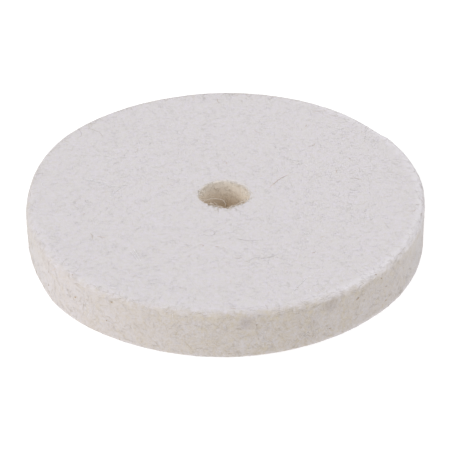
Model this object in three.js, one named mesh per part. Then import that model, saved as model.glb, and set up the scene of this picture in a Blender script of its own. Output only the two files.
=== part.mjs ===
// A flat round polishing wheel, cut in one piece from thick hard pressed wool felt.
// A plain straight hole through its middle takes the arbor of the polishing machine.
//
// Millimetres. The origin is on the axis of the hole, at half the wheel's thickness.
// +Z runs along that axis, square to the two flat faces.

import * as THREE from 'three';

// Sizes of the cut felt
const wheelDiameter = 75;
const wheelThickness = 9.5;
const boreDiameter = 10;

// Felt can't hold a sharp corner: each cut edge is a small rounding of its own radius
const rimRounding = 0.8;
const boreRounding = 0.6;

// How finely the round shapes are divided. An arc in a path gets twice its divisions in flats.
const facetsAround = 96;
const roundingDivisions = 2;

const quarterTurn = Math.PI / 2;

// Half of the wheel's cross-section, as a closed outline: x is the distance from the axis, y is along it.
// It runs up the rim, in across the upper face, down the bore and out across the lower face.
function feltOutline() {
  const rim = wheelDiameter / 2;
  const bore = boreDiameter / 2;
  const face = wheelThickness / 2;

  const outline = new THREE.Path();
  outline.moveTo(rim, -face + rimRounding);
  outline.lineTo(rim, face - rimRounding);
  outline.absarc(rim - rimRounding, face - rimRounding, rimRounding, 0, quarterTurn);
  outline.lineTo(bore + boreRounding, face);
  outline.absarc(bore + boreRounding, face - boreRounding, boreRounding, quarterTurn, 2 * quarterTurn);
  outline.lineTo(bore, -face + boreRounding);
  outline.absarc(bore + boreRounding, -face + boreRounding, boreRounding, 2 * quarterTurn, 3 * quarterTurn);
  outline.lineTo(rim - rimRounding, -face);
  outline.absarc(rim - rimRounding, -face + rimRounding, rimRounding, 3 * quarterTurn, 4 * quarterTurn);
  return outline.getPoints(roundingDivisions);
}

// The lathe turns the outline about Y, so the finished shape is tipped to put its axis on Z.
function feltWheel() {
  const shape = new THREE.LatheGeometry(feltOutline(), facetsAround);
  shape.rotateX(quarterTurn);
  const felt = new THREE.MeshStandardMaterial({ color: 0xd8d5d3, roughness: 0.95, metalness: 0 });
  const wheel = new THREE.Mesh(shape, felt);
  wheel.name = 'felt_wheel';
  return wheel;
}

const polishingWheel = new THREE.Group();
polishingWheel.add(feltWheel());

export default polishingWheel;
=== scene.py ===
import math

import bpy
import numpy as np
from mathutils import Matrix, Vector, noise


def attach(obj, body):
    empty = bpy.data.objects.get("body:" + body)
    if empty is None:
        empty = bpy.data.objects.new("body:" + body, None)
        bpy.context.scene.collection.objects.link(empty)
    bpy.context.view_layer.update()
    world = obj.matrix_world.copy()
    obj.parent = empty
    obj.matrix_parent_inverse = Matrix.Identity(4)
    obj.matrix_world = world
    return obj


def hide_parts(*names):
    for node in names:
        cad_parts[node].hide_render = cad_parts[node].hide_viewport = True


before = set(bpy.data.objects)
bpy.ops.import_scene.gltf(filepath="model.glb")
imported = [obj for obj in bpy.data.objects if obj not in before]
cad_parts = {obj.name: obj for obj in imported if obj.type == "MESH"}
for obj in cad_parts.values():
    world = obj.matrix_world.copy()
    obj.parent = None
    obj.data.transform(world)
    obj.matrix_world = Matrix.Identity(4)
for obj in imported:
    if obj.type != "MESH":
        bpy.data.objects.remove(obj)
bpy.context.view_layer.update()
mm = 0.001  # the script works in millimetres and degrees; meshes are made in metres


def readWheel():
    # outer reach, bore and half thickness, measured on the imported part
    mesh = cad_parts["felt_wheel"].data
    points = np.zeros(len(mesh.vertices) * 3, np.float32)
    mesh.vertices.foreach_get("co", points)
    points = points.reshape(-1, 3) / mm
    reach = np.hypot(points[:, 0], points[:, 1])
    return {"radius": float(reach.max()), "bore": float(reach.min()), "half": float(points[:, 2].max())}


wheel = readWheel()
print("wheel read from the frame", wheel)

# The camera and the light

camera = {
    "distance": 420,
    "elevation": 34.04,
    "lens": 177.1,  # long lens, so the wheel looks nearly parallel
    "down": 0.23,  # aims a little below the wheel's middle
    "roll": -0.68,
    "sensor": 36,
    "clip": (0.01, 100),
}


def makeCamera():
    made = bpy.data.objects.new("camera", bpy.data.cameras.new("camera"))
    bpy.context.scene.collection.objects.link(made)
    made.data.lens = camera["lens"]
    made.data.sensor_width = camera["sensor"]
    made.data.clip_start, made.data.clip_end = camera["clip"]
    rise = math.radians(camera["elevation"])
    back = Vector((0, -math.cos(rise), math.sin(rise)))
    looking = (-back).to_track_quat("-Z", "Y").to_matrix().to_4x4()
    down = Matrix.Rotation(-math.radians(camera["down"]), 4, "X")
    roll = Matrix.Rotation(math.radians(camera["roll"]), 4, "Z")
    made.matrix_world = Matrix.Translation(back * camera["distance"] * mm) @ looking @ down @ roll
    bpy.context.scene.camera = made


light = {
    "overhead": 0.70,  # the white tent's brightness straight up
    "horizon": 1.0,
    "horizonTop": 0.55,  # how high the bright horizon reaches, as a height on the unit sphere
    # each lamp: azimuth it shines from (0 is +X, -90 the camera's side), elevation, strength, softness
    "lamps": ((-160, 34, 1.35, 50), (-20, 30, 0.35, 70)),
    "floor": 0.55,
    "floorGlow": 0.62,
    "floorReach": 60000,
}


# Shader wiring

class Wire:
    # one socket of a node tree; sums on it add Math nodes
    def __init__(self, tree, socket=None):
        self.tree = tree
        self.socket = socket

    def node(self, kind, settings=None, inputs=None, out=0):
        made = self.tree.nodes.new(kind)
        for name, value in (settings or {}).items():
            if name == "stops":
                ramp = made.color_ramp
                while len(ramp.elements) < len(value):
                    ramp.elements.new(1)
                for element, (place, colour) in zip(ramp.elements, value):
                    element.position = place
                    element.color = colour
            else:
                setattr(made, name, value)
        for name, value in (inputs or {}).items():
            if isinstance(value, Wire):
                self.tree.links.new(value.socket, made.inputs[name])
            else:
                made.inputs[name].default_value = value
        return Wire(self.tree, made.outputs[out] if len(made.outputs) else None)

    def math(self, operation, first, second=0.0):
        return self.node("ShaderNodeMath", {"operation": operation}, {0: first, 1: second})

    def __add__(self, other):
        return self.math("ADD", self, other)

    def __radd__(self, other):
        return self.math("ADD", other, self)

    def __sub__(self, other):
        return self.math("SUBTRACT", self, other)

    def __rsub__(self, other):
        return self.math("SUBTRACT", other, self)

    def __mul__(self, other):
        return self.math("MULTIPLY", self, other)

    def __rmul__(self, other):
        return self.math("MULTIPLY", other, self)

    def __truediv__(self, other):
        return self.math("DIVIDE", self, other)

    def __rtruediv__(self, other):
        return self.math("DIVIDE", other, self)

    def __abs__(self):
        return self.math("ABSOLUTE", self)

    def larger(self, other):
        return self.math("MAXIMUM", self, other)

    def fade(self, low, high, start=0.0, end=1.0):
        # a soft step from start at low to end at high
        settings = {"interpolation_type": "SMOOTHSTEP"}
        inputs = {"Value": self, "From Min": low, "From Max": high, "To Min": start, "To Max": end}
        return self.node("ShaderNodeMapRange", settings, inputs)

    def vector(self, operation, other):
        return self.node("ShaderNodeVectorMath", {"operation": operation}, {0: self, 1: other})

    def pick(self, first, second, share):
        # a colour between two, as share goes from 0 to 1
        return self.node("ShaderNodeMix", {"data_type": "RGBA"}, {0: share, 6: first, 7: second}, out=2)

    def blend(self, other, share):
        return self.pick(self, other, share)


def makeMaterial(name):
    made = bpy.data.materials.new(name)
    made.use_nodes = True
    made.node_tree.nodes.clear()
    return made, Wire(made.node_tree)


# wool has no gloss to speak of, and a soft light edge
cloth = {"Roughness": 0.95, "Specular IOR Level": 0.15, "Sheen Roughness": 0.45}


def finishMaterial(tree, colour, sheen, normal=None):
    inputs = {**cloth, "Base Color": colour, "Sheen Weight": sheen}
    if normal:
        inputs["Normal"] = normal
    shader = tree.node("ShaderNodeBsdfPrincipled", {}, inputs)
    tree.node("ShaderNodeOutputMaterial", {}, {"Surface": shader})


def makeLight():
    world = bpy.data.worlds.new("tent")
    bpy.context.scene.world = world
    world.use_nodes = True
    world.node_tree.nodes.clear()
    tree = Wire(world.node_tree)
    towards = tree.node("ShaderNodeTexCoord", out="Generated")
    height = tree.node("ShaderNodeSeparateXYZ", {}, {0: towards}, out="Z")
    strength = height.fade(0.0, light["horizonTop"], light["horizon"], light["overhead"])
    sky = tree.node("ShaderNodeBackground", {}, {"Color": (1, 1, 1, 1), "Strength": strength})
    tree.node("ShaderNodeOutputWorld", {}, {"Surface": sky})
    for azimuth, elevation, power, softness in light["lamps"]:
        lamp = bpy.data.lights.new("softLamp", "SUN")
        lamp.energy = power
        lamp.angle = math.radians(softness)
        made = bpy.data.objects.new("softLamp", lamp)
        bpy.context.scene.collection.objects.link(made)
        turn, rise = math.radians(azimuth), math.radians(elevation)
        source = Vector((math.cos(turn) * math.cos(rise), math.sin(turn) * math.cos(rise), math.sin(rise)))
        made.rotation_euler = source.to_track_quat("Z", "Y").to_euler()
    bpy.context.scene.view_settings.view_transform = "Standard"
    bpy.context.scene.view_settings.look = "None"
    bpy.context.scene.view_settings.exposure = 0
    bpy.context.scene.view_settings.gamma = 1


def makeFloor(height):
    reach = light["floorReach"] * mm
    corners = [(-reach, -reach, height), (reach, -reach, height),
               (reach, reach, height), (-reach, reach, height)]
    mesh = bpy.data.meshes.new("floor")
    mesh.from_pydata(corners, [], [(0, 1, 2, 3)])
    floor = bpy.data.objects.new("floor", mesh)
    bpy.context.scene.collection.objects.link(floor)
    material, tree = makeMaterial("paleFloor")
    pale = light["floor"]
    inputs = {"Base Color": (pale, pale, pale, 1), "Roughness": 1.0, "Specular IOR Level": 0.0,
              "Emission Color": (1, 1, 1, 1), "Emission Strength": light["floorGlow"]}
    shader = tree.node("ShaderNodeBsdfPrincipled", {}, inputs)
    tree.node("ShaderNodeOutputMaterial", {}, {"Surface": shader})
    mesh.materials.append(material)


# The wheel's surface: a closed outline turned round the axis, then roughened.
# A place on it is a distance along the outline and an angle round the axis.

outline = {
    "rimRounding": 0.7,
    "boreRounding": 0.4,
    "arcPoints": 25,
    # soft lumps of pressed wool: size, depth on the faces, depth on the cut rim and in the bore
    "lumps": ((7.0, 0.05, 0.06), (1.9, 0.018, 0.03), (0.75, 0.008, 0.012)),
    "edgeBand": 3.2,  # how far in from the rim the cut edge's wander reaches
    # where the cut wandered in or out: degrees round from +X, mm outwards
    "upperWander": (
        (-174, 0.0), (-163, -0.05), (-149, 0.35), (-121, 0.2), (-110, 0.0), (-70, 0.0), (-60, -0.05),
        (-30, 0.0), (-10, 0.1), (15, 0.32), (32.5, 0.5), (34, 0.05), (40, 0.05), (50, 0.3), (62, 0.52),
        (90, 0.6), (105, 0.42), (125, 0.54), (144, 0.79), (156, 0.47), (172, -0.05),
    ),
    "lowerWander": (
        (-176, -0.15), (-166, -0.25), (-156, -0.15), (-146, 0.5), (-131, 0.6), (-124, 0.42), (-110, 0.48),
        (-80, 0.48), (-60, 0.26), (-45, 0.28), (-30, 0.34), (-10, 0.13), (30, 0.1), (60, 0.2), (150, 0.3),
    ),
    "wanderBlur": 0.9,  # degrees over which the wander's corners are softened
    # how much the upper edge is worn down, and how far in and down the wear reaches
    "edgeWear": (
        (-180, 0.3), (-150, 0.38), (-115, 0.34), (-90, 0.22), (-60, 0.12), (-20, 0.12), (0, 0.0), (160, 0.0),
    ),
    "wearReach": 2.4,
    # where the bore's upper lip bulges inwards, and how far down and out the bulge reaches
    "lipWander": (
        (-170, 0.25), (-140, 0.8), (-115, 1.05), (-90, 0.9), (-65, 1.0), (-40, 0.75), (-10, 0.35), (30, 0.1),
        (90, -0.1), (150, 0.05),
    ),
    "lipRagged": (0.4, 0.5),  # towards -Y, how far the lip's line strays, and the size of its steps
    "lipFront": (0.2, 0.8),  # where that straying sets in and is full, as shares of the way to -Y
    "lipBand": 1.6,
    "lipReach": 2.5,
    "lumpSeeds": (3.7, 11.3),  # the first one and the step to the next
    "raggedSeed": 71.3,
    "cutTilt": (0.5, 1.0),  # upward slope of the surface at which the cut's lumps give way to the face's
}


def layOutline():
    # the four roundings' points in turning order; the runs between them are straight
    rim, lip = outline["rimRounding"], outline["boreRounding"]
    outer, inner, half = wheel["radius"], wheel["bore"], wheel["half"]
    roundings = (
        ("upperRim", outer - rim, half - rim, rim, 90),
        ("lowerRim", outer - rim, rim - half, rim, 0),
        ("lowerLip", inner + lip, lip - half, lip, -90),
        ("upperLip", inner + lip, half - lip, lip, -180),
    )
    turns = [np.radians(np.linspace(start, start - 90, outline["arcPoints"])) for *_, start in roundings]
    reach = np.concatenate([r + size * np.cos(turn) for (_, r, z, size, _), turn in zip(roundings, turns)])
    height = np.concatenate([z + size * np.sin(turn) for (_, r, z, size, _), turn in zip(roundings, turns)])
    steps = np.hypot(np.diff(reach, append=reach[0]), np.diff(height, append=height[0]))
    along = np.concatenate([[0], np.cumsum(steps)])
    marks = {}
    for place, (name, *_) in enumerate(roundings):
        first = place * outline["arcPoints"]
        marks[name] = (along[first], along[first + outline["arcPoints"] - 1])
    turned = np.concatenate(turns)
    return {"along": along[:-1], "length": along[-1], "reach": reach, "height": height,
            "outward": np.cos(turned), "upward": np.sin(turned), "marks": marks}


line = layOutline()
marks = line["marks"]
stretches = {  # from and to, along the outline
    "upperRim": marks["upperRim"],
    "rim": (marks["upperRim"][1], marks["lowerRim"][0]),
    "lowerRim": marks["lowerRim"],
    "lowerFace": (marks["lowerRim"][1], marks["lowerLip"][0]),
    "lowerLip": marks["lowerLip"],
    "bore": (marks["lowerLip"][1], marks["upperLip"][0]),
    "upperLip": marks["upperLip"],
    "upperFace": (marks["upperLip"][1], line["length"]),
}


def onLine(name, along):
    return np.interp(along, line["along"], line[name], period=line["length"])


def softStep(value, low, high):
    share = np.clip((value - low) / (high - low), 0, 1)
    return share * share * (3 - 2 * share)


def lumps(points, size, seed):
    # smooth noise from about -1 to 1 at every point
    places = (points / size + seed).tolist()
    return np.array([noise.noise(place) for place in places])


def wander(name, degrees):
    places, amounts = np.array(outline[name]).T
    blur = outline["wanderBlur"]
    near = [np.interp(degrees + shift, places, amounts, period=360) for shift in (-blur, 0, blur)]
    return sum(near) / 3


def surface(along, turn, lift=0.0):
    # points in mm, and the outward direction there, for arrays of places
    reach, height = onLine("reach", along), onLine("height", along)
    outward, upward = onLine("outward", along), onLine("upward", along)
    size = np.hypot(outward, upward)
    outward, upward = outward / size, upward / size
    plain = np.stack([reach * np.cos(turn), reach * np.sin(turn), height], -1)
    flat = plain.reshape(-1, 3)
    # 1 on the rim and in the bore, 0 on the faces
    cutSide = 1 - softStep(np.abs(upward), *outline["cutTilt"])
    depth = np.zeros(len(flat))
    firstSeed, seedStep = outline["lumpSeeds"]
    for k, (width, onFace, onCut) in enumerate(outline["lumps"]):
        amount = onFace + (onCut - onFace) * cutSide.reshape(-1)
        depth += amount * lumps(flat, width, seedStep * k + firstSeed)
    depth = depth.reshape(reach.shape)
    degrees = np.degrees(turn)
    share = 0.5 + 0.5 * np.clip(height / wheel["half"], -1, 1)
    moved = wander("lowerWander", degrees) * (1 - share) + wander("upperWander", degrees) * share
    moved = moved * softStep(reach, wheel["radius"] - outline["edgeBand"], wheel["radius"])
    top = softStep(height, wheel["half"] - outline["lipBand"], wheel["half"])
    near = 1 - softStep(reach, wheel["bore"], wheel["bore"] + outline["lipReach"])
    stray, step = outline["lipRagged"]
    lip = wheel["bore"] * np.stack([np.cos(turn), np.sin(turn), np.zeros_like(turn)], -1).reshape(-1, 3)
    stray = stray * lumps(lip, step, outline["raggedSeed"]).reshape(turn.shape)
    stray = stray * softStep(-np.sin(turn), *outline["lipFront"])
    bulge = (wander("lipWander", degrees) + stray) * top * near
    atRim = np.clip((reach - wheel["radius"]) / outline["wearReach"] + 1, 0, 1) ** 2
    atTop = np.clip((height - wheel["half"]) / outline["wearReach"] + 1, 0, 1) ** 2
    worn = wander("edgeWear", degrees) * atRim * atTop
    reach = reach + moved - bulge - worn + outward * (depth + lift)
    height = height - worn + upward * (depth + lift)
    points = np.stack([reach * np.cos(turn), reach * np.sin(turn), height], -1)
    away = np.stack([outward * np.cos(turn), outward * np.sin(turn), upward], -1)
    return points, away


def makePiece(name, points, faces, material, bakeMap, values, normals=None, replaces=None):
    # points in mm; bakeMap has a place for each corner of each face, and values a number for each point
    mesh = bpy.data.meshes.new(name)
    mesh.from_pydata((points * mm).tolist(), [], faces.tolist())
    mesh.polygons.foreach_set("use_smooth", np.ones(len(faces), bool))
    layer = mesh.uv_layers.new(name="OFBake")
    layer.data.foreach_set("uv", bakeMap.astype(np.float32).ravel())
    for label, amounts in values.items():
        attribute = mesh.attributes.new(label, "FLOAT", "POINT")
        attribute.data.foreach_set("value", amounts.astype(np.float32))
    mesh.materials.append(material)
    mesh.update()
    if normals is not None:
        mesh.normals_split_custom_set_from_vertices(normals.tolist())
    made = bpy.data.objects.new(name, mesh)
    bpy.context.scene.collection.objects.link(made)
    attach(made, "root")
    if replaces:
        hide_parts(replaces)
    print(name, len(points), "points", len(faces), "faces")


# The pressed body

body = {
    # spacing along the outline and round it
    "cells": {
        "upperRim": (0.17, 0.3), "rim": (0.3, 0.3), "lowerRim": (0.17, 0.3), "lowerFace": (0.4, 0.4),
        "lowerLip": (0.15, 0.25), "bore": (0.3, 0.2), "upperLip": (0.12, 0.13), "upperFace": (0.4, 0.4),
    },
    # the bake map, in shares of its width
    "discScale": 0.0065,  # for one mm of a face
    "discMiddle": 0.25,
    "wallScale": 0.0121,  # for one mm of the rim or the bore
    "wallStart": 0.505,
    "wallStrips": 3,
    "stripPitch": 0.125,
    "mapMargin": 0.02,
}


def ringsOfBody():
    # for each ring of the body: its distance along the outline and how many points it has
    rings = []
    for name, (start, end) in stretches.items():
        alongCell, aroundCell = body["cells"][name]
        count = max(2, round((end - start) / alongCell))
        for place in np.arange(count) / count * (end - start) + start:
            rings.append((place, round(2 * math.pi * float(onLine("reach", place)) / aroundCell)))
    return rings


def zipRings(low, lowCount, high, highCount):
    # triangles between two rings, going round both by whichever next point comes first
    faces = []
    i, j = 0, 0
    while i < lowCount or j < highCount:
        if i < lowCount and (i + 1) * highCount <= (j + 1) * lowCount:
            faces.append((low + i, low + (i + 1) % lowCount, high + j % highCount))
            i += 1
        else:
            faces.append((low + i % lowCount, high + (j + 1) % highCount, high + j))
            j += 1
    return faces


def mapBody(along, turn, faces):
    # two discs side by side below, the rim in strips above them, and the bore at the top
    corner = along[faces]
    angle = turn[faces]
    crosses = np.ptp(angle, axis=1) > math.pi
    angle = np.where(crosses[:, None] & (angle < math.pi), angle + 2 * math.pi, angle)
    wraps = np.ptp(corner, axis=1) > line["length"] / 2
    corner = np.where(wraps[:, None] & (corner < line["length"] / 2), corner + line["length"], corner)
    middle = corner.mean(1) % line["length"]
    upper = sum(marks["upperRim"]) / 2
    lower = sum(marks["lowerRim"]) / 2
    lowerLip = sum(marks["lowerLip"]) / 2
    upperLip = sum(marks["upperLip"]) / 2
    reach = onLine("reach", corner)
    across, up = reach * np.cos(angle) * body["discScale"], reach * np.sin(angle) * body["discScale"]
    places = np.zeros(corner.shape + (2,))
    places[..., 0] = body["discMiddle"] + across
    places[..., 1] = body["discMiddle"] + up
    under = (middle > lower) & (middle < lowerLip)
    places[under, :, 0] = 1 - body["discMiddle"] - across[under]
    onRim = (middle > upper) & (middle < lower)
    third = 2 * math.pi / body["wallStrips"]
    strip = np.floor(angle.mean(1) % (2 * math.pi) / third)
    wide = angle - np.where(angle.mean(1) >= 2 * math.pi, 2 * math.pi, 0)[:, None] - (strip * third)[:, None]
    places[onRim, :, 0] = body["mapMargin"] + wide[onRim] * wheel["radius"] * body["wallScale"]
    firstRow = body["wallStart"] + strip * body["stripPitch"]
    places[onRim, :, 1] = firstRow[onRim, None] + (corner[onRim] - upper) * body["wallScale"]
    inBore = (middle > lowerLip) & (middle < upperLip)
    places[inBore, :, 0] = body["mapMargin"] + angle[inBore] * wheel["bore"] * body["wallScale"]
    lastRow = body["wallStart"] + body["wallStrips"] * body["stripPitch"]
    places[inBore, :, 1] = lastRow + (corner[inBore] - lowerLip) * body["wallScale"]
    return places


def makeBody(material):
    rings = ringsOfBody()
    starts = np.concatenate([[0], np.cumsum([count for _, count in rings])])
    along = np.concatenate([np.full(count, place) for place, count in rings])
    turn = np.concatenate([np.arange(count) / count * 2 * math.pi for _, count in rings])
    faces = []
    for place, (_, count) in enumerate(rings):
        after = (place + 1) % len(rings)
        faces += zipRings(int(starts[place]), count, int(starts[after]), rings[after][1])
    faces = np.array(faces)
    points, _ = surface(along, turn)
    corners = points[faces]
    volume = np.einsum("ij,ij->i", corners[:, 0], np.cross(corners[:, 1], corners[:, 2])).sum() / 6
    print("body volume in cubic cm", round(volume / 1000, 2))
    if volume < 0:
        faces = faces[:, ::-1]
    values = {}
    for label, name in (("fromRim", "rim"), ("fromBore", "bore")):
        # how far each point is from the middle of that wall, along the outline
        far = np.abs(along - sum(stretches[name]) / 2)
        values[label] = np.minimum(far, line["length"] - far)
    bakeMap = mapBody(along, turn, faces)
    makePiece("felt_body", points, faces, material, bakeMap, values, replaces="felt_wheel")
    return points[:, 2].min()


# Loose fibres and hairs on the surface

fibreShape = {
    "tries": 14,  # places drawn for each fibre that is kept
    "taper": 0.4,  # how quickly a fibre comes to its full thickness
    "arch": 0.6,  # how quickly it rises out of the felt
    "sink": 1.2,  # how far its ends are under the surface, in thicknesses
    "highest": 5,  # the most that one stands up, in usual rises
    "placedRise": 0.02,  # mm that the placed ones stand up
    "cellMargin": 0.12,  # free share of a fibre's cell in the bake map, at each side
}


def scatter(rng, count, low, high):
    # places spread evenly over a stretch of the surface
    along = rng.uniform(low, high, count * fibreShape["tries"])
    along = along[rng.uniform(0, wheel["radius"], len(along)) < onLine("reach", along)][:count]
    return along, rng.uniform(-math.pi, math.pi, len(along))


def walk(rng, along, turn, heading, length, steps, curl, wobble):
    # a wandering path over the surface from each place, bending by curl degrees a mm
    along, turn, heading = along.copy(), turn.copy(), heading.copy()
    bend = np.radians(rng.normal(0, curl, len(along)))
    stride = length / (steps - 1)
    path = []
    for _ in range(steps):
        path.append((along.copy(), turn.copy()))
        turned = np.sin(heading) * stride / onLine("reach", along)
        heading += bend * stride - onLine("upward", along) * turned
        along += np.cos(heading) * stride
        turn += turned
        bend += np.radians(rng.normal(0, wobble, len(along)))
    return np.stack([p[0] for p in path], 1), np.stack([p[1] for p in path], 1)


def tubes(paths, away, radius, flat, sides=3):
    # a closed tapering tube round each path, drawn to a point at both ends and flattened against the surface
    count, steps = paths.shape[:2]
    ahead = np.gradient(paths, axis=1)
    ahead /= np.linalg.norm(ahead, axis=2, keepdims=True) + 1e-9
    side = np.cross(ahead, away)
    side /= np.linalg.norm(side, axis=2, keepdims=True) + 1e-9
    up = np.cross(side, ahead)
    taper = np.sin(np.linspace(0, math.pi, steps)) ** fibreShape["taper"]
    thick = (radius[:, None] * taper)[:, :, None]
    rings = []
    for turn in np.arange(sides) / sides * 2 * math.pi + math.pi / 2:
        rings.append(paths + thick * (math.cos(turn) * side + flat * math.sin(turn) * up))
    rings = np.stack(rings, 2)[:, 1:-1]
    points = np.concatenate([paths[:, :1], rings.reshape(count, -1, 3), paths[:, -1:]], 1)
    inner = steps - 2
    last = 1 + inner * sides
    faces, places = [], []
    for k in range(sides):
        after = (k + 1) % sides
        low, high = k / sides, (k + 1) / sides
        faces.append((0, 1 + k, 1 + after))
        places.append(((0, (low + high) / 2), (1, low), (1, high)))
        for ring in range(inner - 1):
            here, there = 1 + ring * sides, 1 + (ring + 1) * sides
            faces.append((here + k, there + after, here + after))
            places.append(((ring + 1, low), (ring + 2, high), (ring + 1, high)))
            faces.append((here + k, there + k, there + after))
            places.append(((ring + 1, low), (ring + 2, low), (ring + 2, high)))
        here = 1 + (inner - 1) * sides
        faces.append((here + k, last, here + after))
        places.append(((inner, low), (inner + 1, (low + high) / 2), (inner, high)))
    faces, places = np.array(faces), np.array(places, float)
    places[..., 0] /= inner + 1
    allFaces = (faces[None] + (np.arange(count) * (last + 1))[:, None, None]).reshape(-1, 3)
    # every fibre has its own cell in the map
    across = math.ceil(math.sqrt(count))
    margin = fibreShape["cellMargin"]
    cell = np.stack([np.arange(count) % across, np.arange(count) // across], 1)
    allPlaces = (cell[:, None, None, :] + margin + (1 - 2 * margin) * places[None]) / across
    normals = np.concatenate([away[:, :1], np.repeat(away[:, 1:-1], sides, axis=1), away[:, -1:]], 1)
    return points.reshape(-1, 3), allFaces, allPlaces.reshape(-1, 3, 2), normals.reshape(-1, 3), last + 1


def layFibres(name, look, material, paths, radius, tone, lift):
    # lift is an array of heights over the surface for each point of each path
    points, away = surface(paths[0], paths[1], lift)
    corners, faces, places, normals, each = tubes(points, away, radius, look["flat"])
    makePiece(name, corners, faces, material, places, {"tone": np.repeat(tone, each)}, normals)


def archOver(steps, thick, high):
    # a fibre's ends are under the surface, and its middle stands on it
    share = np.sin(np.linspace(0, math.pi, steps)) ** fibreShape["arch"]
    return (thick / 2 + high)[:, None] * share - (thick * fibreShape["sink"])[:, None] * (1 - share)


def makeFibres(name, look, material, placed=()):
    # a scattering of fibres, after any placed ones, which are (along, turn) paths of the same steps
    rng = np.random.default_rng(look["seed"])
    along, turn = scatter(rng, look["count"], look["from"], look["to"])
    count = len(along)
    length = rng.uniform(*look["length"], count)
    heading = rng.uniform(-math.pi, math.pi, count)
    paths = walk(rng, along, turn, heading, length, look["steps"], look["curl"], look["wobble"])
    if placed:
        paths = [np.concatenate([np.stack([path[k] for path in placed]), paths[k]]) for k in (0, 1)]
        count += len(placed)
    thick = rng.uniform(*look["thick"], count)
    tone = rng.uniform(0, 1, count)
    if placed:
        thick[:len(placed)] = look["placedThick"]
        tone[:len(placed)] = look["placedTone"]
    rise = rng.exponential(look["rise"], count).clip(0, look["rise"] * fibreShape["highest"])
    rise[:len(placed)] = fibreShape["placedRise"]
    layFibres(name, look, material, paths, thick / 2, tone, archOver(look["steps"], thick, rise))


def curve(points, steps):
    # an even smooth line through given points
    points = np.array(points, float)
    knots = np.vstack([2 * points[0] - points[1], points, 2 * points[-1] - points[-2]])
    place = np.linspace(0, len(points) - 1, steps)
    first = np.minimum(place.astype(int), len(points) - 2)
    t = (place - first)[:, None]
    a, b, c, d = (knots[first + k] for k in range(4))
    squared = (2 * a - 5 * b + 4 * c - d) * t ** 2
    cubed = (3 * b - 3 * c + d - a) * t ** 3
    return 0.5 * (2 * b + (c - a) * t + squared + cubed)


def onUpperFace(points, steps):
    # a path for (x, y) points in mm on the upper face
    x, y = curve(points, steps).T
    start = stretches["upperFace"][0] - wheel["bore"] - outline["boreRounding"]
    return start + np.hypot(x, y), np.unwrap(np.arctan2(y, x))


def onRimWall(points, steps):
    # a path for (degrees round, height in mm) points on the rim
    degrees, height = curve(points, steps).T
    start = marks["upperRim"][1] + wheel["half"] - outline["rimRounding"]
    return start - height, np.radians(degrees)


def makeLipFibres(name, look, material):
    # loose ends that reach over the bore's lips, more of them at the front, and hairs that stand across it
    rng = np.random.default_rng(look["seed"])
    count, steps = look["count"], look["steps"]
    side = np.where(rng.uniform(0, 1, count) < look["upperShare"], 1.0, -1.0)
    front = rng.uniform(0, 1, count) < look["frontShare"]
    atFront = rng.normal(-math.pi / 2, look["frontSpread"], count)
    turn = np.where(front, atFront, rng.uniform(-math.pi, math.pi, count))
    reach = wheel["bore"] + rng.uniform(*look["start"], count) - front * look["frontIn"]
    heading = turn + math.pi + rng.normal(0, look["spread"], count)
    length = rng.uniform(*look["length"], count) * (1 - front * look["frontShort"])
    bend = rng.normal(0, look["bend"], count)
    share = np.linspace(0, 1, steps)[None]
    run = length[:, None] * share
    angle = heading[:, None] + bend[:, None] * share
    x = (reach * np.cos(turn))[:, None] + np.cumsum(np.cos(angle), 1) * length[:, None] / steps
    y = (reach * np.sin(turn))[:, None] + np.cumsum(np.sin(angle), 1) * length[:, None] / steps
    rise = rng.uniform(*look["rise"], count)[:, None] * np.sin(share * look["bow"])
    rise = rise - look["droop"] * run * share
    z = side[:, None] * (wheel["half"] - look["sink"] * (1 - share) ** look["rootPower"] + rise)
    paths = np.stack([x, y, z], 2)
    hairs = np.stack([curve(points, steps) for points in look["hairs"]])
    paths = np.concatenate([hairs, paths])
    away = np.zeros_like(paths)
    away[..., 2] = np.sign(paths[..., 2])
    thick = np.concatenate([np.full(len(hairs), look["hairThick"]), rng.uniform(*look["thick"], count)])
    tone = np.concatenate([np.ones(len(hairs)), rng.uniform(0, 1, count)])
    corners, faces, places, normals, each = tubes(paths, away, thick / 2, look["flat"])
    makePiece(name, corners, faces, material, places, {"tone": np.repeat(tone, each)}, normals)


faceFibres = {"count": 4700, "length": (1.0, 3.2), "thick": (0.03, 0.06), "steps": 7, "curl": 22,
              "wobble": 9, "rise": 0.001, "flat": 0.14}
rimFibres = {"count": 3200, "length": (0.9, 3.2), "thick": (0.03, 0.055), "steps": 7, "curl": 40,
             "wobble": 18, "rise": 0.006, "flat": 0.35}
boreFibres = {"count": 650, "length": (0.6, 2.2), "thick": (0.03, 0.05), "steps": 8, "curl": 50,
              "wobble": 25, "rise": 0.03, "flat": 0.5}
longHairs = {"count": 28, "length": (5, 14), "thick": (0.045, 0.07), "steps": 26, "curl": 9,
             "wobble": 4.5, "rise": 0.001, "flat": 0.25, "placedThick": 0.095, "placedTone": 1.0}
tanHairs = {"count": 40, "length": (1.0, 4.0), "thick": (0.045, 0.08), "steps": 10, "curl": 25,
            "wobble": 12, "rise": 0.003, "flat": 0.3, "placedThick": 0.08, "placedTone": 0.9}
darkHairs = {"count": 4, "length": (0.6, 2.0), "thick": (0.035, 0.05), "steps": 20, "curl": 45,
             "wobble": 22, "rise": 0.003, "flat": 0.3, "placedThick": 0.044, "placedTone": 0.6}
specks = {"count": 18, "length": (0.25, 0.6), "thick": (0.08, 0.17), "steps": 6, "curl": 20,
          "wobble": 20, "rise": 0.002, "flat": 0.25, "placedThick": 0.2, "placedTone": 0.5}
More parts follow.
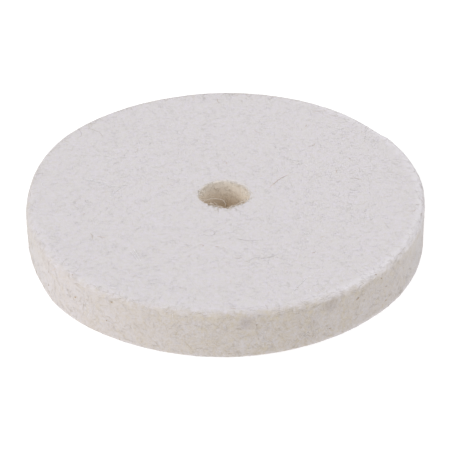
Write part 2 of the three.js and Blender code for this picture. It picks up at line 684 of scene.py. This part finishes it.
lipFibres = {
    "count": 200,
    "steps": 9,
    "seed": 8,
    "upperShare": 0.75,  # of them on the upper lip
    "frontShare": 0.55,  # of them bunched towards -Y
    "frontSpread": 0.75,  # radians
    "frontIn": 1.05,  # how much further in those start
    "frontShort": 0.55,  # and how much shorter they are
    "start": (0.1, 1.0),  # mm outside the bore
    "spread": 0.9,  # radians off the straight way in
    "length": (0.5, 2.0),
    "bend": 1.1,
    "rise": (0.0, 0.08),
    "bow": 2.4,
    "droop": 0.12,
    "sink": 0.12,
    "rootPower": 4,  # how quickly the root leaves the felt
    "thick": (0.05, 0.1),
    "flat": 0.8,
    "hairThick": 0.064,
    # hairs that stand across the bore, in mm
    "hairs": (
        ((-4.9, -2.7, 4.7), (-3.9, -2.2, 4.85), (-3.3, -1.6, 4.9), (-2.3, -1.4, 4.95), (-1.2, -1.5, 4.95),
         (-0.3, -1.9, 4.9), (0.1, -2.8, 4.85), (0.1, -4.8, 4.7)),
        ((-2.1, -1.4, 4.3), (-1.7, -2.4, 4.5), (-1.3, -3.4, 4.7), (-0.9, -4.4, 4.7)),
        ((1.7, -4.6, 4.7), (2.1, -3.6, 4.8), (2.9, -2.6, 4.85), (4.0, -2.0, 4.8)),
        ((-3.2, -3.9, 4.7), (-2.4, -2.9, 4.8), (-2.0, -3.4, 4.8), (-1.6, -4.6, 4.7)),
        ((0.6, -4.7, 4.7), (1.3, -3.8, 4.8), (2.4, -3.7, 4.8), (3.0, -3.9, 4.7)),
    ),
}

# Hairs that anyone would notice, each a line through a few points.
# On the upper face the points are x and y; on the rim they are degrees round and height.
placedOnFace = {
    "white": (
        ((7.5, 18.5), (9.5, 17.5), (10.5, 16), (10.5, 13.5), (9, 10)),
        ((10.5, 14), (12, 12.5), (14.5, 11.5), (17, 8.5)),
        ((10, 10.5), (10.5, 8.5)), ((11, 10), (11.5, 8.5)), ((6, 2), (6.5, 0.5)),
        ((12.5, -13), (14, -12.5), (15, -13.5), (15.5, -14.5), (14, -16.5)),
        ((11.5, -33), (12, -31), (13.5, -28.5), (14.5, -27), (16.5, -25.5)),
        ((15, -30.5), (15, -31.5)), ((17, -31), (18, -32)),
        ((-28, 7), (-25.5, 6), (-23.5, 4.5), (-21, 3.5), (-19.5, 5)),
        ((-17.5, -17.5), (-16.5, -19.5), (-15.5, -21.5)), ((-17, -16.5), (-15, -22)),
        ((-31, -7), (-27, -5)), ((-3.5, -22), (-2, -21.5), (-0.5, -21)),
        ((-16, 6.5), (-19, 4), (-21, 1), (-22, -1)), ((-28.5, 7.5), (-25.5, 5.5), (-21, 4.5)),
    ),
    "tan": (
        ((7.5, 1.2), (8.7, 2.7), (9.9, 4.5), (10.9, 5.7), (12, 6.7), (12.9, 7.3)),
        ((15.5, -19.5), (16.5, -19)), ((-5, -16), (-4, -16.5), (-4.5, -17)), ((-2, -17), (-1, -17)),
        ((24, 12.5), (24.5, 12)), ((16, 24), (16.5, 25)), ((12.5, -30), (13, -30)), ((-32, -1), (-31.5, -1)),
        ((-24, -13), (-22.5, -13.5), (-21.5, -13.5)), ((-26.5, 11), (-26, 11)), ((-26.5, -6), (-26, -5.5)),
    ),
    "dark": (
        ((6, -18.3), (7, -18.6), (8.2, -19.2), (8.6, -19.8), (8.4, -20.4), (7.6, -20.7), (6.6, -20.9),
         (5.8, -20.6), (5, -20.8), (4.3, -21.7), (4.3, -23.3), (4.4, -24.4)),
        ((-4, -13), (-4, -12), (-3, -11.5), (-2, -12), (-2, -13), (-3, -13.5), (-4, -13), (-4.5, -14)),
        ((1, -14.2), (2.8, -14.8), (4.2, -15.1), (5.4, -15.1), (7, -15.2)), ((2.3, -14.6), (3.3, -14.9)),
        ((14.5, 11), (14, 10)),
    ),
}
placedOnRim = {
    "pale": (
        ((-79, 1), (-80, -1), (-80, -3.5)),
        ((-56.5, 0.5), (-64, -1.5), (-67, -1.5), (-70, -3), (-71, -4)),
    ),
    "dark": (((-27, -1), (-26, -1), (-24, -2)), ((-27, -0.85), (-26, -0.85), (-24, -1.85)),
             ((-37, 4), (-34.5, 1.5))),
    "speck": (
        ((-149, -1.5), (-148.5, -1.5)), ((-124.5, -1), (-124, -1)), ((-52, 1.5), (-50.5, 2)),
        ((-40, -2.5), (-39.5, -2.5)), ((-136, 0.5), (-135, 1)), ((-123, 3.5), (-122, 3.5)),
        ((-42, 3), (-41.5, 3)), ((-44, 4.5), (-43.5, 4.5)), ((-40, 0.5), (-39.5, 0.5)),
    ),
}

# Felt: the colours and the fine stroke texture

felt = {
    "white": (0.689, 0.651, 0.711, 1),
    "tan": (0.643, 0.607, 0.606, 1),
    "olive": (0.650, 0.633, 0.588, 1),
    "stroke": (0.75, 0.722, 0.745, 1),
    # lighter band by the rim, partly loose fibres and partly a painted highlight on the rounded upper edge
    "fuzzAndHighlight": (0.80, 0.775, 0.815, 1),
    "cutWhite": (0.504, 0.470, 0.472, 1),
    "cutTan": (0.458, 0.398, 0.325, 1),
    "cutStroke": (0.620, 0.585, 0.575, 1),
    "cream": (0.490, 0.425, 0.310, 1),
    # a cool tint painted on the rim's ends as painted sheen
    "paintedSheen": (0.52, 0.52, 0.58, 1),
    "smudge": (0.330, 0.290, 0.295, 1),
    "fleck": (0.600, 0.535, 0.490, 1),
    # the bore's wall from its upper lip down: share of the depth, colour; the upper stops are the wall's
    # cream made lighter than the face wool, partly painted light for light scattered through the felt near
    # the lip
    "bore": ((0.0, (0.83, 0.77, 0.70, 1)), (0.25, (0.83, 0.745, 0.64, 1)), (0.6, (0.55, 0.425, 0.29, 1)),
             (1.0, (0.37, 0.27, 0.175, 1))),
    # soiled patches on the rim: degrees round, height, size, strength
    "smudges": ((-84.5, 2.5, 1.6, 0.7), (-60.5, 3, 1.8, 0.5), (-66, 0.5, 1.4, 0.3), (-57, 4, 1, 0.4),
                (150, -1, 1.8, 0.5), (64, 2, 1.4, 0.5)),
    "smudgeBlur": 1.3,
    # how much of each colour comes in at its fullest
    "oliveShare": 0.4,
    "fleckShare": 0.75,
    "fuzzAndHighlightShare": 0.45,
    "creamShare": 0.5,
    "paintedSheenShare": 0.28,
    "paintedShadeShare": 0.1,
    "lipShadeShare": 0.9,
    "strokeShare": {"face": 0.19, "rim": 0.11, "bore": -0.09},
    # along X, in radii: painted light on the cut wool, lighter towards -X where the lamp falls and towards
    # the +X end, then less again at the very -X end: from and to, and how much
    "paintedRimLight": ((0.05, -0.9, 0.26), (0.4, 0.95, 0.11), (-0.85, -1.0, -0.3)),
    # along X, in radii: where the painted sheen tint comes in at each end of the rim, from and to
    "paintedSheenEnds": ((-0.8, -1.0), (0.8, 1.0)),
    "fuzzAndHighlightReach": (0.1, 0.7),
    "fuzzAndHighlightBand": (2.6, 1.1),  # mm in from the rim's end, where it begins and where it is full
    "creamReach": (3.2, 1.2),  # mm below the upper face
    "creamCleared": 3,  # how strongly the painted light at the ends clears the cream band
    # how far the cut's colour creeps over the edge: from and to along X in radii, the two amounts in mm
    "creep": (0.2, 0.7, 0.75, 0.15),
    "rimBlur": 1.05,  # mm
    "boreBlur": (0.75, 0.05),
    "boreGrain": 0.3,
    # in the bore, painted shade on the wall and on the upper edge towards +X, which the lamp lights: along X
    # in bore radii, and mm from the edge
    "paintedShadeReach": (0, 0.7),
    "paintedShadeBand": (1.6, 0.3),
    # the painted shade on the bore's upper edge: along X in bore radii, and mm from the edge where it
    # begins, is full, eases and ends
    "lipReach": (-0.3, 0.7),
    "lipBand": (-0.3, 0.3, 0.55, 1.1),
    "ragged": (2.0, 0.8),  # how far the rim's and the bore's colours stray over their edges, in mm
    "warp": (0.45, 1.6),  # scale and mm of the bending that everything painted gets
    # noises: scale, detail, seed, and for some the range that shows
    "raggedNoise": (0.9, 2.0, 21.0),
    "spotNoise": (1.7, 3.0, 5.0),
    "broadNoise": (0.3, 2.0, 12.0),
    "grainNoise": (3.4, 2.0, 40.0),
    "oliveNoise": (0.9, 3.0, 71.0, 0.36, 0.64),
    "fleckNoise": (2.4, 2.0, 50.0, 0.58, 0.70),
    "fleckPlaces": (0.5, 1.0, 61.0, 0.35, 0.65),
    "creamBand": (0.55, 2.0, 31.0, 0.42, 0.62),
    "creamPlaces": (0.8, 2.0, 37.0, 0.56, 0.66),
    "noiseRoughness": 0.55,
    # patches of the two main wools: shares of the noises (spot, broad, grain), and the range that shows
    "patchMix": (0.88, 0.12),
    "patchRange": (0.3, 0.7),
    "cutPatchMix": (0.4, 0.25, 0.35),
    "cutPatchRange": (0.36, 0.64),
    # strokes: stretch along and across, seed, and the range of the ridges that shows
    "faceStroke": (0.55, 2.9, 1.3, 0.90, 1.0),
    "cutStrokes": (0.5, 2.0, 4.1, 0.88, 1.0),
    "directions": 5,
    "strokeStray": 0.35,  # how unevenly the directions are spread
    "strokeDepth": 0.6,  # a stroke's scale into the felt, against across
    "strokesApart": (7.1, 3.3),  # so that no two directions have the same noise
    # relief: the face's amount and what the cut or the rim adds, for strokes and spots
    "strokeRelief": (0.2, 0.27),
    "spotRelief": (0.1, 0.2),
    "reliefDepth": 0.03,
    "sheen": 0.3,
}


def mottle(place, look):
    scale, detail, seed, *shown = felt[look]
    moved = place.vector("ADD", (seed, seed * 1.7, 0))
    inputs = {"Vector": moved, "Scale": scale, "Detail": detail, "Roughness": felt["noiseRoughness"]}
    grain = place.node("ShaderNodeTexNoise", {}, inputs)
    return grain.fade(*shown) if shown else grain


def strokes(place, look):
    # short wavy light lines lying in every direction, as pressed fibres do
    along, across, seed, low, high = felt[look]
    apart = felt["strokesApart"]
    best = None
    for k in range(felt["directions"]):
        angle = math.pi * (k + felt["strokeStray"] * math.sin(5 * k + seed)) / felt["directions"]
        settings = {"rotation_type": "Z_AXIS"}
        turned = place.node("ShaderNodeVectorRotate", settings, {"Vector": place, "Angle": angle})
        drawn = turned.vector("MULTIPLY", (along, across, across * felt["strokeDepth"]))
        drawn = drawn.vector("ADD", (apart[0] * k, seed, apart[1] * k))
        inputs = {"Vector": drawn, "Scale": 1.0, "Detail": 1.0, "Roughness": 0.5}
        ridge = 1 - abs(place.node("ShaderNodeTexNoise", {}, inputs) - 0.5) * 2
        best = ridge if best is None else best.larger(ridge)
    return best.fade(low, high)


def feltMaterial():
    made, tree = makeMaterial("pressedFelt")
    outer, inner, half = wheel["radius"], wheel["bore"], wheel["half"]
    rimEnd = half - outline["rimRounding"]
    boreEnd = half - outline["boreRounding"]
    place = tree.node("ShaderNodeTexCoord", out="Object").vector("MULTIPLY", (1 / mm, 1 / mm, 1 / mm))
    warpScale, warpReach = felt["warp"]
    inputs = {"Vector": place, "Scale": warpScale, "Detail": 1.0}
    warp = tree.node("ShaderNodeTexNoise", {}, inputs, out="Color").vector("SUBTRACT", (0.5, 0.5, 0.5))
    warp = warp.vector("MULTIPLY", (warpReach, warpReach, warpReach))
    bent = place.vector("ADD", warp)
    x, y, z = (tree.node("ShaderNodeSeparateXYZ", {}, {0: bent}, out=axis) for axis in "XYZ")
    height = tree.node("ShaderNodeSeparateXYZ", {}, {0: place}, out="Z")
    fromRim = tree.node("ShaderNodeAttribute", {"attribute_name": "fromRim"}, out="Fac")
    fromBore = tree.node("ShaderNodeAttribute", {"attribute_name": "fromBore"}, out="Fac")

    # masks of the rim and of the bore
    ragged = mottle(place, "raggedNoise") - 0.5
    rimStray, boreStray = felt["ragged"]
    low, high, most, least = felt["creep"]
    creep = x.fade(low * outer, high * outer, most, least)
    blur = felt["rimBlur"]
    onRim = (fromRim - creep + ragged * rimStray).fade(rimEnd + blur, rimEnd - blur)
    far, near = felt["boreBlur"]
    inBore = (fromBore + ragged * boreStray).fade(boreEnd + far, boreEnd + near)
    cut = onRim.larger(inBore)

    # strokes, on the walls in their own coordinates: way round, height
    around = tree.math("ARCTAN2", x, 0 - y) * tree.math("SQRT", x * x + y * y)
    rolled = tree.node("ShaderNodeCombineXYZ", {}, {0: around, 1: z, 2: 0.0})
    stroke = strokes(bent, "faceStroke") * (1 - cut) + strokes(rolled, "cutStrokes") * cut

    # the faces: bluish and warm patches, flecks, and a lighter band at the edge towards +X, partly loose
    # fibres and partly a painted highlight on the rounded edge
    spots = mottle(place, "spotNoise")
    broad = mottle(place, "broadNoise")
    bySpot, byBroad = felt["patchMix"]
    patch = (spots * bySpot + broad * byBroad).fade(*felt["patchRange"])
    faceColour = tree.pick(felt["tan"], felt["white"], patch)
    faceColour = faceColour.blend(felt["olive"], mottle(place, "oliveNoise") * felt["oliveShare"])
    flecks = mottle(place, "fleckNoise") * mottle(place, "fleckPlaces")
    faceColour = faceColour.blend(felt["fleck"], flecks * felt["fleckShare"])
    # painted highlight: a lighter band along the upper edge towards +X, partly loose fibres
    far, near = felt["fuzzAndHighlightBand"]
    low, high = felt["fuzzAndHighlightReach"]
    fuzzAndHighlight = fromRim.fade(rimEnd + far, rimEnd + near) * x.fade(low * outer, high * outer)
    faceColour = faceColour.blend(felt["fuzzAndHighlight"], fuzzAndHighlight * felt["fuzzAndHighlightShare"])

    # the rim: patches, a cream band under the upper edge, painted light and a painted sheen tint at the
    # ends, soiled places
    grain = mottle(place, "grainNoise")
    bySpot, byBroad, byGrain = felt["cutPatchMix"]
    cutPatch = (spots * bySpot + broad * byBroad + grain * byGrain).fade(*felt["cutPatchRange"])
    cutColour = tree.pick(felt["cutTan"], felt["cutWhite"], cutPatch)
    # painted light: the cut wool made lighter towards its ends, where the lamp falls and where the wall
    # turns away
    first, second, third = (x.fade(low * outer, high * outer) * share for low, high, share in felt["paintedRimLight"])
    paintedRimLight = first + second + third
    far, near = felt["creamReach"]
    band = height.fade(half - far, half - near) * (1 - paintedRimLight * felt["creamCleared"])
    creamy = band * mottle(place, "creamBand") + mottle(place, "creamPlaces")
    cutColour = cutColour.blend(felt["cream"], creamy * felt["creamShare"])
    cutColour = cutColour.blend(felt["white"], paintedRimLight)
    # painted sheen: a cool tint on both ends of the rim, where it is seen at a grazing angle
    left, right = (x.fade(low * outer, high * outer) for low, high in felt["paintedSheenEnds"])
    cutColour = cutColour.blend(felt["paintedSheen"], left.larger(right) * felt["paintedSheenShare"])
    for degrees, level, size, strength in felt["smudges"]:
        turn = math.radians(degrees)
        centre = (outer * math.cos(turn), outer * math.sin(turn), level)
        inputs = {0: bent, 1: centre}
        away = tree.node("ShaderNodeVectorMath", {"operation": "DISTANCE"}, inputs, out="Value")
        cutColour = cutColour.blend(felt["smudge"], away.fade(size * felt["smudgeBlur"], 0.0) * strength)
    colour = faceColour.blend(cutColour, onRim)

    # the bore: darker and browner downwards, lighter near its upper lip partly as painted light, and painted
    # shade on its upper wall and edge towards +X, where the lamp lights them
    depth = 0.5 - height / half * 0.5
    down = depth + (grain - 0.5) * felt["boreGrain"]
    # partly painted light: the wall is lightest near its upper lip, standing in for light scattered through
    # the felt
    wallColour = tree.node("ShaderNodeValToRGB", {"stops": felt["bore"]}, {"Fac": down})
    low, high = felt["paintedShadeReach"]
    far, near = felt["paintedShadeBand"]
    paintedShade = x.fade(low * inner, high * inner) * height.fade(half - far, half - near)
    # painted shade: cream darkens the upper wall towards +X, which the lamp lights
    wallColour = wallColour.blend(felt["cream"], paintedShade * felt["paintedShadeShare"])
    colour = colour.blend(wallColour, inBore)
    low, high = felt["lipReach"]
    begin, full, ease, end = (boreEnd + out for out in felt["lipBand"])
    lipShade = fromBore.fade(end, ease) * fromBore.fade(begin, full) * x.fade(low * inner, high * inner)
    # painted shade: tan darkens the upper edge's rounding towards +X, which the lamp lights
    colour = colour.blend(felt["tan"], lipShade * felt["lipShadeShare"])

    share = felt["strokeShare"]
    strokeColour = tree.pick(felt["stroke"], felt["cutStroke"], cut)
    strokeShare = stroke * (onRim * share["rim"] + inBore * share["bore"] + share["face"])
    colour = colour.blend(strokeColour, strokeShare)
    onFace, addedByCut = felt["strokeRelief"]
    relief = stroke * (cut * addedByCut + onFace)
    onFace, addedByRim = felt["spotRelief"]
    relief = relief + spots * (onRim * addedByRim + onFace)
    inputs = {"Height": relief, "Distance": felt["reliefDepth"] * mm, "Strength": 1.0}
    finishMaterial(tree, colour, felt["sheen"], tree.node("ShaderNodeBump", {}, inputs))
    return made


# Loose wool: the colours between which each fibre's tone lies, and the sheen

wools = {
    "faceWool": ((0.675, 0.635, 0.615, 1), (0.765, 0.74, 0.775, 1), 0.3),
    "cutWool": ((0.45, 0.375, 0.29, 1), (0.665, 0.635, 0.635, 1), 0.15),
    "boreWool": ((0.46, 0.34, 0.21, 1), (0.84, 0.77, 0.66, 1), 0.1),
    "lipWool": ((0.64, 0.57, 0.49, 1), (0.84, 0.80, 0.76, 1), 0.2),
    "whiteWool": ((0.74, 0.72, 0.74, 1), (0.90, 0.89, 0.91, 1), 0.2),
    "tanWool": ((0.56, 0.45, 0.36, 1), (0.68, 0.50, 0.38, 1), 0.1),
    "darkWool": ((0.30, 0.27, 0.26, 1), (0.46, 0.41, 0.38, 1), 0.1),
    "speckWool": ((0.31, 0.22, 0.13, 1), (0.52, 0.38, 0.23, 1), 0.0),
}


def hairMaterial(name):
    first, second, sheen = wools[name]
    made, tree = makeMaterial(name)
    tone = tree.node("ShaderNodeAttribute", {"attribute_name": "tone"}, out="Fac")
    finishMaterial(tree, tree.pick(first, second, tone), sheen)
    return made


print("camera and light")
makeCamera()
makeLight()

print("body")
lowest = makeBody(feltMaterial()) * mm

print("fibres")
wool = {name: hairMaterial(name) for name in wools}
whole = {"from": 0.0, "to": line["length"]}
edgeIn = 0.3  # fibres of a face start this far round its rounding, in mm
upper = {"from": stretches["upperFace"][0], "to": line["length"] + edgeIn}
lower = {"from": stretches["lowerFace"][0] - edgeIn, "to": stretches["lowerFace"][1]}
cutEdge = {"from": marks["upperRim"][0], "to": marks["lowerRim"][1]}
boreWall = {"from": marks["lowerLip"][0], "to": marks["upperLip"][1]}
rimHairs = {**longHairs, **cutEdge, "count": 14, "placedThick": 0.06, "seed": 11}


def placedHairs(look, colour):
    onFace = [onUpperFace(points, look["steps"]) for points in placedOnFace.get(colour, ())]
    return onFace + [onRimWall(points, look["steps"]) for points in placedOnRim.get(colour, ())]


makeFibres("upper_face_fibres", {**faceFibres, **upper, "seed": 1}, wool["faceWool"])
makeFibres("lower_face_fibres", {**faceFibres, **lower, "seed": 2}, wool["faceWool"])
makeFibres("rim_fibres", {**rimFibres, **cutEdge, "seed": 3}, wool["cutWool"])
makeFibres("bore_fibres", {**boreFibres, **boreWall, "seed": 4}, wool["boreWool"])
placed = placedHairs(longHairs, "white")
makeFibres("upper_long_hairs", {**longHairs, **upper, "seed": 5}, wool["whiteWool"], placed)
makeFibres("lower_long_hairs", {**longHairs, **lower, "seed": 10}, wool["whiteWool"])
makeFibres("rim_long_hairs", rimHairs, wool["cutWool"], placedHairs(rimHairs, "pale"))
makeFibres("tan_hairs", {**tanHairs, **whole, "seed": 6}, wool["tanWool"], placedHairs(tanHairs, "tan"))
makeFibres("dark_hairs", {**darkHairs, **whole, "seed": 7}, wool["darkWool"], placedHairs(darkHairs, "dark"))
makeFibres("brown_specks", {**specks, **cutEdge, "seed": 9}, wool["speckWool"], placedHairs(specks, "speck"))
makeLipFibres("lip_fibres", lipFibres, wool["lipWool"])

print("floor")
makeFloor(lowest)
